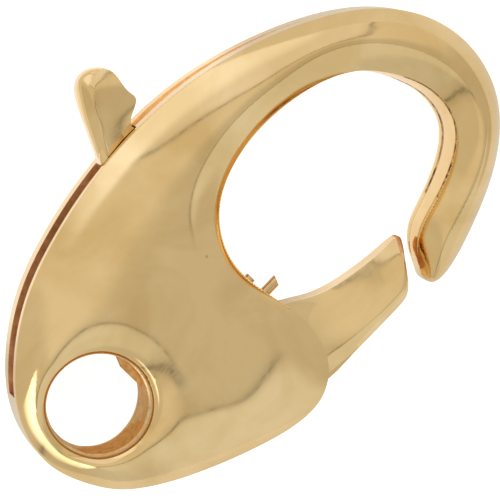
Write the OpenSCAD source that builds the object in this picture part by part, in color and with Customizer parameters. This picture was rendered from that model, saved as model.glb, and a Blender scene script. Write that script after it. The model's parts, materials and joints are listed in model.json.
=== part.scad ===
// Lobster clasp: a cast body with a hook and a ring eye, and a sprung lever on a hidden pin.
// The origin is the middle of the ring eye, at half the thickness. +X runs towards the hook,
// +Y towards the side that the thumb tab stands on, and +Z out of the front face.

/* [Body] */
// Length from the ring end to the bend of the hook
clasp_len = 25.2; // [20:0.1:32]
// Width that the outline's shares are taken of
clasp_width = 14.0; // [11:0.1:18]
// Thickness of the body at its crown
clasp_thick = 4.6; // [4:0.1:6]

/* [Ring eye] */
// Radius of the ring eye
eye_r = 2.2; // [1.6:0.05:2.4]
// Depth and width of the dished rim at each end of the eye
eye_rim = 0.4; // [0.2:0.05:0.6]
// Least metal between the eye and the slot
eye_web = 0.6; // [0.4:0.05:1]

/* [Lever] */
// Thickness of the lever's plate
lever_thick = 1.3; // [0.8:0.05:1.6]
// Gap between the lever and each wall of the slot
slot_gap = 0.1; // [0.05:0.01:0.2]
// Thickness of the gate at its crown
gate_thick = 2.1; // [1.5:0.05:3]
// Thickness of the thumb tab at its crown
tab_thick = 1.9; // [1.5:0.05:2.6]

/* [Pivot] */
// Radius of the hidden pivot pin
pin_r = 0.6; // [0.4:0.05:0.8]
// Running clearance of the lever on its pin
pin_gap = 0.05; // [0.02:0.01:0.08]
// Height of the pin's blind end over the middle of the thickness
pin_top = 1.2; // [1:0.05:1.4]
// Clearance of the pin in the body, on its radius
press_gap = 0.01; // [0.005:0.005:0.02]

/* [Spring] */
// Diameter of the spring's wire
wire_d = 0.45; // [0.3:0.05:0.5]
// Radius of the spring's bend, at the middle of the wire
spring_r = 0.45; // [0.4:0.01:0.5]
// Length of the leg that rests on the slot's wall
still_leg = 0.85; // [0.6:0.05:1]
// Length of the leg that the lever pushes
pushed_leg = 1.5; // [1.2:0.05:1.7]
// Least gap that the lever and the slot leave round the spring
spring_gap = 0.06; // [0.04:0.01:0.1]

/* [Hidden] */

half = clasp_thick / 2;
slot_w = lever_thick + 2 * slot_gap;
gold = "goldenrod";

// Steps between two rows of a table, and the shares of the way from edge to crown at which
// a skin has its points.
steps = 3;
levels = [0, 0.06, 0.16, 0.3, 0.48, 0.72];

// Pivot of the lever, as shares of length and width.
pivot = [0.256 * clasp_len, -0.25 * clasp_width];

// Wall of the slot that the spring stands against, and the middle of the spring's bend.
wall_y = -0.063 * clasp_width;
spring_at = [0.300 * clasp_len, wall_y - 2.3 * spring_gap - spring_r - wire_d / 2];

// Thickness of the plate as a share of the gate's and of the tab's.
gate_root = lever_thick / gate_thick;
tab_root = lever_thick / tab_thick;

// Sections of the body from the hook's tip to the far side of the ring end.
// Columns: outer edge x, y, crown x, y, inner edge x, y, as shares of length and width.
BODY = [
  [ 0.541, -0.515,  0.542, -0.492,  0.536, -0.470],
  [ 0.575, -0.517,  0.562, -0.484,  0.545, -0.446],
  [ 0.614, -0.500,  0.587, -0.448,  0.560, -0.398],
  [ 0.661, -0.472,  0.627, -0.411,  0.591, -0.350],
  [ 0.713, -0.436,  0.681, -0.378,  0.650, -0.322],
  [ 0.765, -0.388,  0.737, -0.334,  0.709, -0.282],
  [ 0.813, -0.322,  0.783, -0.275,  0.755, -0.230],
  [ 0.852, -0.232,  0.814, -0.198,  0.778, -0.165],
  [ 0.873, -0.112,  0.826, -0.100,  0.783, -0.088],
  [ 0.871,  0.018,  0.820,  0.004,  0.772, -0.010],
  [ 0.841,  0.148,  0.790,  0.112,  0.743,  0.076],
  [ 0.785,  0.259,  0.742,  0.210,  0.702,  0.147],
  [ 0.708,  0.348,  0.677,  0.283,  0.648,  0.198],
  [ 0.622,  0.416,  0.604,  0.325,  0.586,  0.226],
  [ 0.532,  0.468,  0.520,  0.352,  0.520,  0.236],
  [ 0.441,  0.495,  0.440,  0.359,  0.456,  0.224],
  [ 0.359,  0.499,  0.370,  0.342,  0.394,  0.184],
  [ 0.284,  0.491,  0.312,  0.297,  0.351,  0.115],
  [ 0.216,  0.474,  0.265,  0.239,  0.325,  0.023],
  [ 0.154,  0.449,  0.225,  0.172,  0.323, -0.075],
  [ 0.096,  0.420,  0.188,  0.102,  0.335, -0.175],
  [ 0.042,  0.380,  0.155,  0.037,  0.344, -0.276],
  [-0.005,  0.330,  0.125, -0.015,  0.339, -0.370],
  [-0.046,  0.272,  0.098, -0.048,  0.315, -0.450],
  [-0.080,  0.213,  0.072, -0.060,  0.268, -0.503],
  [-0.105,  0.152,  0.048, -0.058,  0.204, -0.496],
  [-0.121,  0.090,  0.024, -0.050,  0.129, -0.452],
  [-0.129,  0.028,  0.000, -0.040,  0.052, -0.394],
  [-0.130, -0.034, -0.018, -0.040, -0.018, -0.328],
  [-0.122, -0.096, -0.034, -0.048, -0.076, -0.250],
  [-0.104, -0.170, -0.048, -0.062, -0.104, -0.170],
];

// How the body's section changes along those rows.
// Columns: row, half thickness and height of the outer and inner side walls as shares of half
// the thickness, and the dome's power, which is higher where the face is flatter.
BODY_SECTION = [
  [ 0, 0.42, 0.20, 0.20, 2.0],
  [ 2, 0.68, 0.22, 0.25, 2.0],
  [ 5, 0.86, 0.20, 0.34, 2.0],
  [10, 0.92, 0.20, 0.34, 2.0],
  [15, 0.98, 0.38, 0.34, 2.2],
  [20, 1.00, 0.48, 0.40, 2.6],
  [24, 0.98, 0.54, 0.45, 3.4],
  [30, 0.96, 0.56, 0.56, 5.0],
];

// Sections of the gate from its root in the slot to its nose, in the body's columns.
GATE = [
  [ 0.268, -0.452,  0.290, -0.325,  0.312, -0.192],
  [ 0.310, -0.476,  0.330, -0.350,  0.346, -0.216],
  [ 0.353, -0.480,  0.367, -0.364,  0.378, -0.260],
  [ 0.396, -0.481,  0.406, -0.378,  0.416, -0.288],
  [ 0.436, -0.481,  0.448, -0.386,  0.460, -0.305],
  [ 0.472, -0.481,  0.487, -0.390,  0.503, -0.318],
  [ 0.500, -0.480,  0.512, -0.393,  0.538, -0.321],
  [ 0.518, -0.448,  0.527, -0.392,  0.568, -0.325],
  [ 0.548, -0.374,  0.538, -0.388,  0.548, -0.374],
];
// Its root is as thick as the plate, and it grows to its own thickness outside the slot.
GATE_SECTION = [
  [0, 0.97 * gate_root, 0.48, 0.48, 4.0],
  [1, gate_root, 0.48, 0.48, 4.0],
  [2, 0.7 * gate_root + 0.3, 0.50, 0.52, 4.0],
  [3, 0.2 * gate_root + 0.8, 0.52, 0.60, 4.0],
  [5, 1.00, 0.55, 0.66, 4.0],
  [8, 0.92, 0.62, 0.62, 4.0],
];

// Sections of the thumb tab from the body's edge to its top, in the body's columns.
TAB = [
  [ 0.372,  0.480,  0.328,  0.480,  0.286,  0.480],
  [ 0.374,  0.508,  0.336,  0.512,  0.296,  0.515],
  [ 0.392,  0.524,  0.350,  0.546,  0.308,  0.562],
  [ 0.408,  0.546,  0.362,  0.578,  0.320,  0.606],
  [ 0.407,  0.585,  0.372,  0.620,  0.331,  0.650],
  [ 0.410,  0.622,  0.382,  0.654,  0.345,  0.694],
  [ 0.415,  0.655,  0.388,  0.680,  0.362,  0.720],
  [ 0.410,  0.690,  0.392,  0.694,  0.385,  0.724],
];
TAB_SECTION = [
  [0, tab_root, 0.60, 0.60, 2.0],
  [2, 0.6 * tab_root + 0.4, 0.60, 0.60, 2.0],
  [5, 0.98, 0.62, 0.62, 2.0],
  [7, 0.85, 0.55, 0.55, 2.0],
];

// Outline of the lever's plate, anticlockwise from the gate's lower root.
// Columns: x, y, as shares of length and width.
PLATE = [
  [ 0.340, -0.478], [ 0.395, -0.476], [ 0.400, -0.380], [ 0.385, -0.282],
  [ 0.345, -0.216], [ 0.315, -0.184], [ 0.280, -0.176], [ 0.265, -0.120],
  [ 0.272, -0.030], [ 0.281,  0.060], [ 0.297,  0.150], [ 0.318,  0.258],
  [ 0.346,  0.372], [ 0.366,  0.450], [ 0.371,  0.505], [ 0.345,  0.540],
  [ 0.300,  0.530], [ 0.284,  0.475], [ 0.258,  0.380], [ 0.228,  0.250],
  [ 0.198,  0.090], [ 0.172, -0.080], [ 0.162, -0.240], [ 0.182, -0.370],
  [ 0.225, -0.430], [ 0.270, -0.458], [ 0.300, -0.478],
];

// Corners of the slot, anticlockwise from its foot beside the ring eye.
SLOT = [
  [-0.085,  0.182], [-0.030,  0.190], [ 0.100, -0.100], [ 0.136, -0.240],
  [ 0.146, -0.330], [ 0.184, -0.400], [ 0.235, -0.452], [ 0.285, -0.490],
  [ 0.330, -0.540], [ 0.400, -0.540], [ 0.400, -0.063], [ 0.328, -0.063],
  [ 0.292, -0.060], [ 0.288,  0.010], [ 0.300,  0.105], [ 0.320,  0.210],
  [ 0.346,  0.325], [ 0.369,  0.425], [ 0.376,  0.480], [ 0.376,  0.600],
  [-0.200,  0.600], [-0.200,  0.250], [-0.112,  0.235],
];

// A uniform cubic B-spline's weights at share f of an interval.
function weights(f) = [
  pow(1 - f, 3), 3 * pow(f, 3) - 6 * f * f + 4, 3 * (f + f * f - pow(f, 3)) + 1, pow(f, 3)] / 6;
function wrap(i, n) = (i % n + n) % n;
function on_loop(pts, i, f) = let(n = len(pts), w = weights(f))
  w[0] * pts[wrap(i - 1, n)] + w[1] * pts[wrap(i, n)]
  + w[2] * pts[wrap(i + 1, n)] + w[3] * pts[wrap(i + 2, n)];
function on_line(pts, i, f) = let(n = len(pts) - 1, w = weights(f),
  before = i > 0 ? pts[i - 1] : 2 * pts[0] - pts[1],
  after = i + 2 <= n ? pts[i + 2] : 2 * pts[n] - pts[n - 1])
  w[0] * before + w[1] * pts[i] + w[2] * pts[min(i + 1, n)] + w[3] * after;
function sized(x, y) = [x * clasp_len, y * clasp_width];

// Outline of a table: out along the outer edge and back along the inner one.
function outline(rows) = let(m = len(rows) - 1, shut = rows[m][0] == rows[m][4]) concat(
  [for (r = rows) sized(r[0], r[1])],
  [for (i = [m - (shut ? 1 : 0):-1:0]) sized(rows[i][4], rows[i][5])]);
function smooth_loop(rows) = let(pts = [for (r = rows) sized(r[0], r[1])])
  [for (i = [0:len(pts) - 1]) for (f = [0:steps - 1]) on_loop(pts, i, f / steps)];
function crowns(rows) = [for (r = rows) sized(r[2], r[3])];
function section(table, t, column) = lookup(t, [for (r = table) [r[0], r[column]]]);

// A closed skin over a table of sections: a low side wall round the outline, then a dome that
// rises to the crown line. The front and the back are alike.
module skin(rows, table, half_t) {
  m = len(rows) - 1;
  edge = outline(rows);
  crown = crowns(rows);
  n = len(edge) * steps;
  k = len(levels);
  last = m * steps;
  shut = len(edge) == 2 * m + 1;
  // Row of the table that a point of the outline belongs to.
  function row_of(j) = let(t = j / steps) t <= m ? t : max(0, min(m, 2 * m + (shut ? 0 : 1) - t));
  function crown_of(j) = round(row_of(j) * steps);
  edge_pts = [for (j = [0:n - 1]) on_loop(edge, floor(j / steps), (j % steps) / steps)];
  crown_pts = [for (j = [0:last])
    on_line(crown, min(floor(j / steps), m - 1), j == last ? 1 : (j % steps) / steps)];
  function high(j, e) = let(t = row_of(j), h = section(table, t, 1),
    w = section(table, t, j <= last ? 2 : 3))
    half_t * (w + (h - w) * (1 - pow(1 - e, section(table, t, 4))));
  function point(j, e, side) = let(p = edge_pts[j] + (crown_pts[crown_of(j)] - edge_pts[j]) * e)
    [p[0], p[1], side * high(j, e)];
  function top(j) = [crown_pts[j][0], crown_pts[j][1], half_t * section(table, j / steps, 1)];
  pts = concat(
    [for (e = levels) for (j = [0:n - 1]) point(j, e, 1)],
    [for (e = levels) for (j = [0:n - 1]) point(j, e, -1)],
    [for (j = [0:last]) top(j)],
    [for (j = [0:last]) [top(j)[0], top(j)[1], -top(j)[2]]]);
  function at(side, i, j) = i < k ? (side * k + i) * n + wrap(j, n)
    : 2 * k * n + side * (last + 1) + crown_of(wrap(j, n));
  function quad(a, b, c, d) = [[a, b, c], [a, c, d]];
  faces = concat(
    [for (i = [0:k - 1]) for (j = [0:n - 1])
      each quad(at(0, i, j), at(0, i + 1, j), at(0, i + 1, j + 1), at(0, i, j + 1))],
    [for (i = [0:k - 1]) for (j = [0:n - 1])
      each quad(at(1, i, j), at(1, i, j + 1), at(1, i + 1, j + 1), at(1, i + 1, j))],
    [for (j = [0:n - 1]) each quad(at(1, 0, j), at(0, 0, j), at(0, 0, j + 1), at(1, 0, j + 1))]);
  polyhedron(pts, [for (f = faces) if (f[0] != f[1] && f[1] != f[2] && f[0] != f[2]) f]);
}

// Ring eye: a straight bore with a dished rim at each face.
module eye_bore() {
  rim_z = 0.96 * half - eye_rim;
  cylinder(h = 2 * clasp_thick, r = eye_r, center = true, $fn = 96);
  for (side = [0, 1]) mirror([0, 0, side])
    translate([0, 0, rim_z]) cylinder(h = 2 * eye_rim, r1 = eye_r, r2 = eye_r + 2 * eye_rim, $fn = 96);
}

// Slot that the lever turns in, open at the tab's edge of the body and at the gate's root.
module slot() {
  difference() {
    linear_extrude(height = slot_w, center = true) polygon([for (p = SLOT) sized(p[0], p[1])]);
    cylinder(h = 2 * slot_w, r = eye_r + eye_web, center = true, $fn = 96);
  }
}

// Room round the spring, as thick as the slot.
module spring_room() {
  reach = wire_d / 2 + spring_gap;
  translate([spring_at[0], spring_at[1], 0]) linear_extrude(height = slot_w, center = true) {
    circle(r = spring_r + reach, $fn = 48);
    translate([0, -spring_r - reach]) square([pushed_leg + reach, 2 * reach]);
    translate([0, spring_r - reach]) square([still_leg + reach, 2 * reach]);
  }
}

module body() {
  color(gold) difference() {
    skin(BODY, BODY_SECTION, half);
    eye_bore();
    slot();
    spring_room();
    translate([pivot[0], pivot[1], -clasp_thick]) cylinder(h = clasp_thick + pin_top, r = pin_r, $fn = 48);
  }
}

module lever() {
  color(gold) difference() {
    union() {
      linear_extrude(height = lever_thick, center = true) polygon(smooth_loop(PLATE));
      skin(GATE, GATE_SECTION, gate_thick / 2);
      skin(TAB, TAB_SECTION, tab_thick / 2);
    }
    spring_room();
    translate(pivot) cylinder(h = 2 * clasp_thick, r = pin_r + pin_gap, center = true, $fn = 48);
  }
}

// Pin pressed in from the back and dressed flush with the back face.
module pivot_pin() {
  color("darkgoldenrod") intersection() {
    skin(BODY, BODY_SECTION, half);
    translate([pivot[0], pivot[1], -clasp_thick])
      cylinder(h = clasp_thick + pin_top - 0.03, r = pin_r - press_gap, $fn = 48);
  }
}

// Hairpin of wire: one leg on the slot's wall, the other on the lever, its cut end standing out.
module spring() {
  color("darkgoldenrod") translate([spring_at[0], spring_at[1], 0]) {
    rotate([0, 0, 90]) rotate_extrude(angle = 180, $fn = 48)
      translate([spring_r, 0]) circle(r = wire_d / 2, $fn = 24);
    for (leg = [[spring_r, still_leg], [-spring_r, pushed_leg]])
      translate([0, leg[0], 0]) rotate([0, 90, 0]) cylinder(h = leg[1], r = wire_d / 2, $fn = 24);
  }
}

body();
lever();
pivot_pin();
spring();
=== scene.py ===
import json
import bpy
import numpy as np
from mathutils import Matrix, Vector
from mathutils.geometry import delaunay_2d_cdt


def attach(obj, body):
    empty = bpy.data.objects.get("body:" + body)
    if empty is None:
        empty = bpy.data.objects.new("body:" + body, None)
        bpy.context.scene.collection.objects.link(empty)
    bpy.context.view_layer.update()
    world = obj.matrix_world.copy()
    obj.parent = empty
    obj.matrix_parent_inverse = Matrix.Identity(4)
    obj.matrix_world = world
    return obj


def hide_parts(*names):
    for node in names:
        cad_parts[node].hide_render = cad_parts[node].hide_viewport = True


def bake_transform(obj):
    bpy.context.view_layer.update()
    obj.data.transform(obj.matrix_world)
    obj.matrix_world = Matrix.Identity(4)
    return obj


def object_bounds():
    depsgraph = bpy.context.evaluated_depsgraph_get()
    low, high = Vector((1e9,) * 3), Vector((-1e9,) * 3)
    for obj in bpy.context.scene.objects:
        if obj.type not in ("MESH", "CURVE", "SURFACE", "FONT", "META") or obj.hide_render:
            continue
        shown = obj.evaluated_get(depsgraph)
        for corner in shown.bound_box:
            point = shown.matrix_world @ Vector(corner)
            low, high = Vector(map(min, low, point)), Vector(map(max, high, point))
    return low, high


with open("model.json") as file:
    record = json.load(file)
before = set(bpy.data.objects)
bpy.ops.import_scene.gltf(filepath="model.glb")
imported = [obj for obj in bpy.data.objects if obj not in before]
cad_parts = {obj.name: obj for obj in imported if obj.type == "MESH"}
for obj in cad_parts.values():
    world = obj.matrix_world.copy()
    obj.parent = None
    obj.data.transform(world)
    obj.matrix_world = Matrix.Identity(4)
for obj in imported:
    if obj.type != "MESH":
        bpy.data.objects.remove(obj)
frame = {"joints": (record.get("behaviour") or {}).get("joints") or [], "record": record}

bl_info = {
    "name": "Lobster clasp",
    "version": (1, 0, 0),
    "blender": (4, 5, 0),
    "location": "3D View > Sidebar > Clasp",
    "description": "Makes a polished lobster clasp with its sprung lever, and the table it lies on",
    "category": "Add Mesh",
}

CAD_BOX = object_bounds()
MM = 0.001
EYE = frame["record"]["mounts"][0]
HINGE = frame["joints"][0]

# Sizes in millimetres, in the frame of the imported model.
LENGTH = 25.2
WIDTH = 14.0
HALF = 2.3  # half the body's thickness
EYE_R = EYE["dims"]["r_mm"]
EYE_WEB = 0.6  # metal left between the ring eye and the slot
PIVOT = np.array(HINGE["pos_m"][:2]) / MM
PIN_R = 0.6
PIN_TOP = 1.2
PIN_PLAY = 0.05
PIN_SHORT = 0.03  # between the pin and the blind end of its bore
LEVER_THICK = 1.3
SLOT_W = 1.5
GATE_THICK = 2.1
TAB_THICK = 1.9
WIRE_D = 0.45
SPRING_R = 0.45
STILL_LEG = 0.85
PUSHED_LEG = 1.5
SPRING_GAP = 0.138  # from the slot's wall above the spring to the wire
# Middle of the spring's turn.
SPRING_AT = (0.300 * LENGTH, -0.063 * WIDTH - SPRING_GAP - SPRING_R - WIRE_D / 2)

# Sections of the body from the hook's tip to the far side of the ring end.
# Columns: outer edge x, y, crown x, y, inner edge x, y, as shares of length and width.
BODY = np.array([
    [0.541, -0.515, 0.542, -0.492, 0.536, -0.470],
    [0.575, -0.517, 0.562, -0.484, 0.545, -0.446],
    [0.614, -0.500, 0.587, -0.448, 0.560, -0.398],
    [0.661, -0.472, 0.627, -0.411, 0.591, -0.350],
    [0.713, -0.436, 0.681, -0.378, 0.650, -0.322],
    [0.765, -0.388, 0.737, -0.334, 0.704, -0.284],
    [0.813, -0.322, 0.782, -0.275, 0.748, -0.232],
    [0.852, -0.232, 0.811, -0.198, 0.769, -0.167],
    [0.873, -0.112, 0.822, -0.100, 0.773, -0.088],
    [0.871, 0.018, 0.816, 0.004, 0.763, -0.012],
    [0.841, 0.148, 0.788, 0.112, 0.737, 0.072],
    [0.785, 0.259, 0.742, 0.210, 0.702, 0.147],
    [0.708, 0.348, 0.677, 0.283, 0.648, 0.198],
    [0.622, 0.416, 0.601, 0.306, 0.586, 0.226],
    [0.532, 0.468, 0.525, 0.329, 0.520, 0.236],
    [0.441, 0.495, 0.450, 0.327, 0.456, 0.224],
    [0.359, 0.499, 0.381, 0.304, 0.394, 0.184],
    [0.284, 0.491, 0.324, 0.265, 0.351, 0.115],
    [0.216, 0.474, 0.278, 0.215, 0.325, 0.023],
    [0.154, 0.449, 0.238, 0.160, 0.323, -0.075],
    [0.096, 0.420, 0.188, 0.102, 0.335, -0.175],
    [0.042, 0.380, 0.155, 0.037, 0.344, -0.276],
    [-0.005, 0.330, 0.125, -0.015, 0.339, -0.370],
    [-0.046, 0.272, 0.098, -0.048, 0.315, -0.450],
    [-0.080, 0.213, 0.072, -0.060, 0.268, -0.503],
    [-0.105, 0.152, 0.048, -0.058, 0.204, -0.496],
    [-0.121, 0.090, 0.024, -0.050, 0.129, -0.452],
    [-0.129, 0.028, 0.000, -0.040, 0.052, -0.394],
    [-0.130, -0.034, -0.018, -0.040, -0.018, -0.328],
    [-0.122, -0.096, -0.034, -0.048, -0.076, -0.250],
    [-0.104, -0.170, -0.048, -0.062, -0.104, -0.170],
])
# Columns: row, half thickness and height of the outer and inner side walls as shares of half
# the thickness, the dome's power towards either edge, which is higher where it is flatter, and
# the outer wall's height on the back, whose rim is fuller.
BODY_SECTION = np.array([
    [0, 0.42, 0.20, 0.20, 2.0, 2.0, 0.20],
    [1, 0.55, 0.21, 0.21, 2.0, 2.0, 0.21],
    [2, 0.68, 0.22, 0.32, 2.0, 2.0, 0.22],
    [5, 0.86, 0.24, 0.54, 2.0, 1.8, 0.24],
    [10, 0.92, 0.42, 0.64, 1.9, 1.8, 0.42],
    [15, 0.98, 0.50, 0.64, 2.1, 1.9, 0.62],
    [18, 1.00, 0.48, 0.62, 3.2, 2.5, 0.72],
    [20, 1.00, 0.48, 0.60, 4.5, 3.2, 0.76],
    [22, 1.00, 0.49, 0.58, 5.0, 3.5, 0.76],
    [24, 0.98, 0.50, 0.50, 5.5, 4.2, 0.76],
    [26, 0.97, 0.46, 0.46, 4.4, 4.2, 0.62],
    [28, 0.95, 0.40, 0.40, 2.8, 2.8, 0.40],
    [30, 0.95, 0.40, 0.40, 2.8, 2.8, 0.40],
])
# The lever's gate from its root to its nose, and its thumb tab from foot to top, with the same
# columns as the body, but for the one of the back.
GATE = np.array([
    [0.268, -0.452, 0.278, -0.395, 0.312, -0.192],
    [0.310, -0.476, 0.318, -0.419, 0.346, -0.216],
    [0.353, -0.480, 0.359, -0.432, 0.378, -0.260],
    [0.396, -0.481, 0.400, -0.439, 0.416, -0.288],
    [0.436, -0.481, 0.441, -0.442, 0.460, -0.305],
    [0.472, -0.481, 0.479, -0.445, 0.503, -0.318],
    [0.500, -0.480, 0.508, -0.443, 0.538, -0.321],
    [0.518, -0.448, 0.520, -0.416, 0.568, -0.325],
    [0.548, -0.374, 0.524, -0.396, 0.548, -0.374],
])
GATE_SECTION = np.array([
    [0, 0.600, 0.48, 0.52, 2.0, 1.2],
    [1, 0.619, 0.48, 0.54, 2.0, 1.2],
    [2, 0.733, 0.45, 0.64, 2.0, 1.2],
    [3, 0.940, 0.46, 0.56, 2.0, 1.25],
    [4, 1.000, 0.50, 0.54, 2.0, 1.2],
    [5, 0.985, 0.50, 0.53, 2.0, 1.2],
    [6, 0.930, 0.48, 0.50, 2.0, 1.2],
    [6.6, 0.890, 0.38, 0.36, 2.2, 2.2],
    [7, 0.855, 0.28, 0.24, 2.4, 3.0],
    [8, 0.800, 0.20, 0.20, 3.0, 3.0],
])
TAB = np.array([
    [0.372, 0.480, 0.312, 0.480, 0.286, 0.480],
    [0.369, 0.506, 0.320, 0.513, 0.296, 0.515],
    [0.379, 0.531, 0.332, 0.551, 0.308, 0.562],
    [0.414, 0.552, 0.347, 0.588, 0.320, 0.606],
    [0.407, 0.585, 0.356, 0.630, 0.331, 0.650],
    [0.410, 0.622, 0.368, 0.668, 0.345, 0.694],
    [0.415, 0.655, 0.382, 0.688, 0.362, 0.720],
    [0.410, 0.690, 0.394, 0.698, 0.385, 0.724],
])
TAB_SECTION = np.array([
    [0, 0.684, 0.60, 0.40, 1.3, 2.4],
    [2, 0.811, 0.74, 0.40, 1.2, 2.4],
    [5, 0.980, 0.80, 0.42, 1.2, 2.4],
    [5.8, 0.960, 0.74, 0.42, 1.2, 2.2],
    [7, 0.480, 0.36, 0.32, 1.6, 1.8],
])
# Outline of the lever's plate, and corners of the slot, as shares of length and width.
PLATE = np.array([
    [0.340, -0.478], [0.395, -0.476], [0.400, -0.380], [0.385, -0.282],
    [0.345, -0.216], [0.315, -0.184], [0.280, -0.176], [0.265, -0.120],
    [0.272, -0.030], [0.281, 0.060], [0.297, 0.150], [0.318, 0.258],
    [0.346, 0.372], [0.370, 0.450], [0.379, 0.505], [0.345, 0.540],
    [0.300, 0.530], [0.284, 0.475], [0.258, 0.380], [0.228, 0.250],
    [0.198, 0.090], [0.172, -0.080], [0.162, -0.240], [0.182, -0.370],
    [0.225, -0.430], [0.270, -0.458], [0.300, -0.478],
])
SLOT = np.array([
    [-0.085, 0.182], [-0.030, 0.190], [0.100, -0.100], [0.136, -0.240],
    [0.146, -0.330], [0.184, -0.400], [0.235, -0.452], [0.285, -0.490],
    [0.330, -0.540], [0.400, -0.540], [0.400, -0.063], [0.328, -0.063],
    [0.292, -0.060], [0.288, 0.010], [0.300, 0.105], [0.320, 0.210],
    [0.346, 0.325], [0.369, 0.425], [0.376, 0.480], [0.376, 0.600],
    [-0.200, 0.600], [-0.200, 0.250], [-0.112, 0.235],
])
SHARES = np.array([LENGTH, WIDTH])
# Outline in millimetres of a ledge left halfway down the ring eye, and half its thickness.
LEDGE = np.array([
    [1.8, 0.1], [1.8, -1.25], [2.15, -1.25], [2.5, -0.4], [2.4, 0.78], [2.07, 0.75],
])
LEDGE_HALF = 0.3

# Steps of the body's mesh: points to a row of its table, shares from edge to crown, the share
# below which they run on past the ring eye, how far the rings round the eye reach, the points of
# each ring, and how far out each lies from the eye's wall.
ACROSS = 10
EDGE_LEVELS = np.concatenate([[0, 0.008, 0.02, 0.04, 0.065, 0.095, 0.125],
                              np.linspace(0.17, 0.97, 21)])
EDGE_MARGIN = 0.15
RINGS_REACH = 1.7
EYE_TURNS = 216
EYE_STEPS = np.array([0, 0.01, 0.03, 0.06, 0.1, 0.15, 0.21, 0.28, 0.36, 0.45, 0.55, 0.66, 0.78,
                      0.91, 1.05, 1.2, 1.36, 1.53, 1.66])
# Levels of the rings in the side walls, from the front at 1 to the back at -1, and the level and
# width of each groove in the hook's inner wall.
WALL_LEVELS = np.array([1, 0.985, 0.96, 0.93, 0.90, 0.86, 0.75, 0.6, 0.3, 0, -0.18, -0.24, -0.3,
                        -0.36, -0.5, -0.6, -0.68, -0.76, -0.84, -0.91, -0.96, -0.985, -1])
GROOVES = ((0.93, 0.03), (-0.27, 0.06))
# Levels of the rings in the front half of the eye's wall, and how far each stands in from it.
EYE_LEVELS = np.array([1, 0.97, 0.90, 0.86, 0.80, 0.76, 0.5, 0.0])
EYE_INSET = np.array([0, 0, 0, -0.08, -0.08, 0.04, 0.08, 0.10])
# The lever's gate and tab: shares from edge to crown, and points to a row of their tables.
LEVER_LEVELS = np.concatenate([[0, 0.01, 0.03, 0.06], np.linspace(0.1, 0.96, 12)])
LEVER_ACROSS = 12
# Angles in degrees above which an edge is sharp, on simple pieces and on cut ones.
SHARP, CUT_SHARP = 40, 50

# Finishes of the metal. Faces are given their numbers. The one for the slot is painted shade,
# and the cast one is partly painted shade, deep in the ring eye and along the hook's root.
FINISHES = ("gold", "cast", "dulled", "satin", "painted_shade", "wire")
GOLD, CAST_AND_PAINTED_SHADE, DULLED, SATIN, PAINTED_SHADE, WIRE = range(len(FINISHES))
# Patches on the gate's nose and at the tab's foot: from t, to t, nearer the edge than e, finish.
# The nose patch is painted shade: a dark orange band along the end of the gate's nose.
NOSE_PATCH = (7.0, 9.4, 0.4, PAINTED_SHADE)
FOOT_PATCH = (0, 1.4, 0.4, SATIN)

# The table: half its side in metres; its glow, painted light since it is no lamp: how brightly it
# glows away from the clasp, in painted pools of light beside the clasp and to the camera; and
# those pools: x, y and reach in millimetres.
TABLE_HALF = 1.5
GLOW, GLOW_NEAR, GLOW_SEEN = 0.22, 0.5, 0.85
GLOW_POOLS = ((15.3, -1.6, 5.5), (6.0, 12.0, 10.5))
GLOW_POOL_EDGE = 1.2  # half the width of their soft edge
# Tones of the sky: across the ceiling, and from outside to inside over the edge of its brighter
# parts, where a dark line runs, and over the edge of its dull left.
CEILING = [(0.0, (0.60, 0.58, 0.50)), (1.0, (0.76, 0.725, 0.62))]
UPPER_EDGE = [(0.0, 1.0), (0.1, 0.94), (0.24, 0.32),
              (0.42, (1.0, 1.03, 1.12)), (1.0, (1.16, 1.22, 1.42))]
LOWER_EDGE = [(0.0, 1.0), (0.08, 0.92), (0.26, 0.34),
              (0.48, (1.1, 1.13, 1.18)), (1.0, (1.24, 1.30, 1.42))]
LEFT_EDGE = [(0.0, 1.0), (1.0, 0.86)]
BACK_WALL = (1.1, 1.14, 1.2, 1)
WHITE = (1, 1, 1, 1)
# How far, of a radius of 1, the sky's edges waver.
WAVER = 0.09
# The camera: degrees off the face, the way it leans, its distance, aim and sensor's width in
# millimetres, and its focal length in pixels of a picture of the given width.
CAMERA_TILT = 13.7
CAMERA_WAY = (-0.27, 0.963)
CAMERA_FAR = 150
CAMERA_AIM = (9.2, -0.4, 0.0)
SENSOR = 36
FOCUS_PX, PICTURE_PX = 3525, 500


def weights(f):
    """Weights of a uniform cubic B-spline at share f of an interval: a row for each of 4 points."""
    rows = [(1 - f) ** 3, 3 * f ** 3 - 6 * f ** 2 + 4, 3 * (f + f * f - f ** 3) + 1, f ** 3]
    return np.stack(rows) / 6


def on_loop(points, t):
    """Closed B-spline through a ring of control points, at the parameters t."""
    n = len(points)
    i = np.floor(t).astype(int)
    w = weights(t - i)
    return sum(w[k][:, None] * points[(i - 1 + k) % n] for k in range(4))


def on_line(points, t):
    """Open B-spline that comes to rest at its ends, so that a fold there is smooth."""
    n = len(points) - 1
    held = np.vstack([points[1], points, points[-2]])
    i = np.clip(np.floor(t).astype(int), 0, n - 1)
    w = weights(t - i)
    return sum(w[k][:, None] * held[i + k] for k in range(4))


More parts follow.
